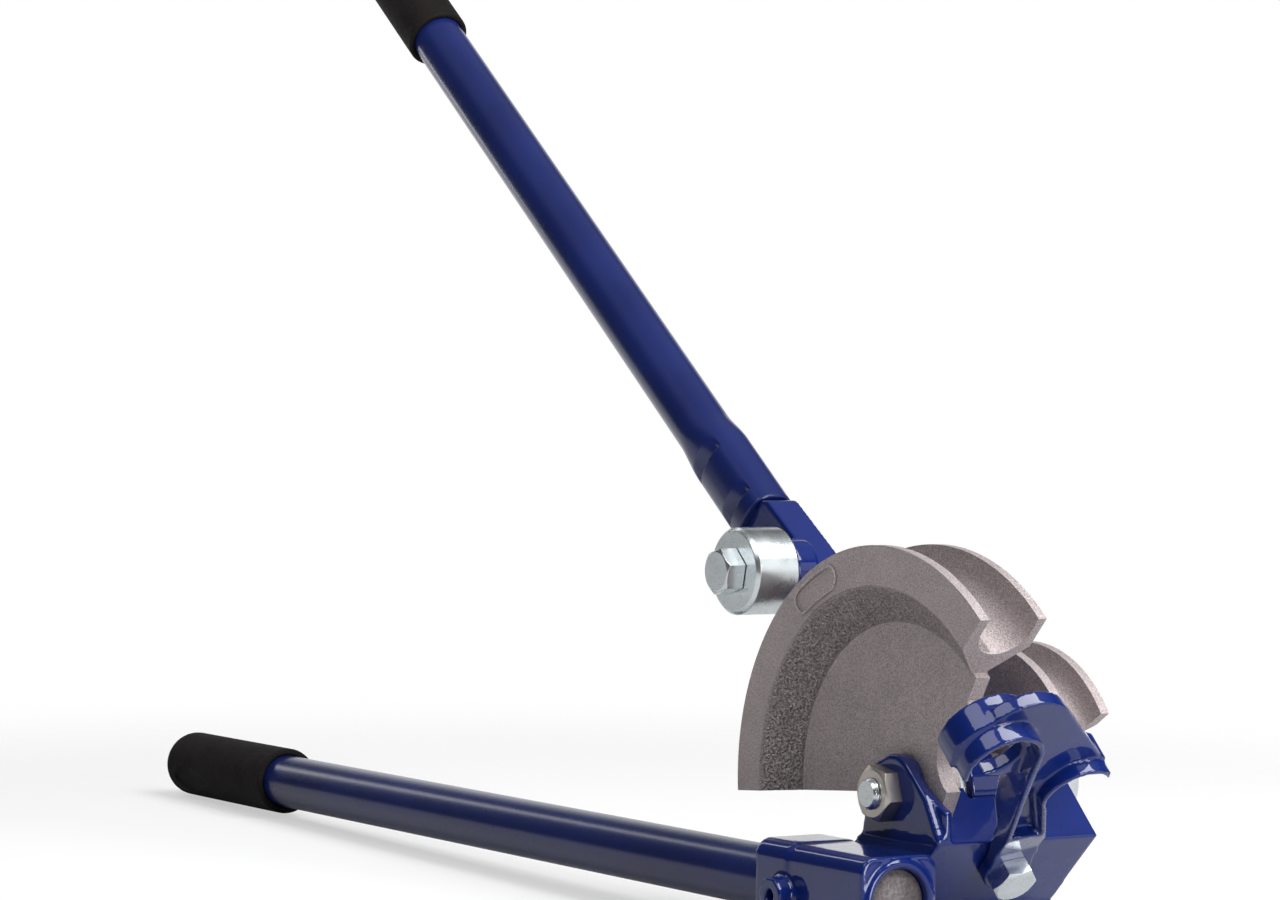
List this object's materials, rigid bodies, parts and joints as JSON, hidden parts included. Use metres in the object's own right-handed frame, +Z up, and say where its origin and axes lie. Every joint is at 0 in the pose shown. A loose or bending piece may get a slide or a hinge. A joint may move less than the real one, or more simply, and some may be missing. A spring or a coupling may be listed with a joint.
{
  "type": "pipe bender",
  "caption": "Two-handle pipe bender with two grooved formers, swinging lever with rollers, swivelling tube hook and black grips.",
  "frame": {"origin": "on the ground straight under the pivot axis, midway through the thickness of the lever arm, on the head's foot face", "axes": "+X along the fixed handle from its grip towards the tube hook, +Y along the pivot from the large former to the small one, +Z up"},
  "size_m": [0.6662, 0.1256, 0.4424],
  "materials": {
    "blue_enamel": "gloss",
    "cast_grey": "grainy matte casting",
    "zinc_steel": "bright zinc plated",
    "grip_rubber": "matte",
    "dark_steel": "black oxide",
    "bronze": "turned"
  },
  "bodies": {
    "head": {"head_casting": "blue_enamel", "fixed_tube": "blue_enamel", "handle_end_plug": "cast_grey", "fixed_grip": "grip_rubber", "handle_set_screw": "dark_steel", "former_22": "cast_grey", "former_15": "cast_grey", "former_spacers": "zinc_steel", "pivot_bolt": "zinc_steel", "pivot_nut": "zinc_steel", "pivot_washer": "zinc_steel", "hook_bolt": "zinc_steel"},
    "lever": {"lever_arm": "blue_enamel", "arm_bush": "bronze", "lever_tube": "blue_enamel", "lever_grip": "grip_rubber", "roller_22_bolt": "zinc_steel", "roller_22_washer": "zinc_steel", "roller_15_bolt": "zinc_steel", "roller_15_washer": "zinc_steel"},
    "hook": {"tube_hook": "blue_enamel"},
    "large_roller": {"roller_22": "zinc_steel"},
    "small_roller": {"roller_15": "zinc_steel"}
  },
  "joints": [
    {"name": "lever_swing", "type": "hinge", "parent": "head", "child": "lever", "pos_m": [0, 0, 0.0609], "axis": [0, 1, 0], "range_deg": [-36, 90]},
    {"name": "hook_swivel", "type": "hinge", "parent": "head", "child": "hook", "pos_m": [0, 0, 0.0609], "axis": [0.7181, 0, -0.6959], "range_deg": [-40, 12]},
    {"name": "large_roller_spin", "type": "hinge", "parent": "lever", "child": "large_roller", "pos_m": [-0.10019, -0.0294, 0.1383], "axis": [0, 1, 0], "continuous": true},
    {"name": "small_roller_spin", "type": "hinge", "parent": "lever", "child": "small_roller", "pos_m": [-0.06779, 0.0219, 0.11217], "axis": [0, 1, 0], "continuous": true}
  ]
}
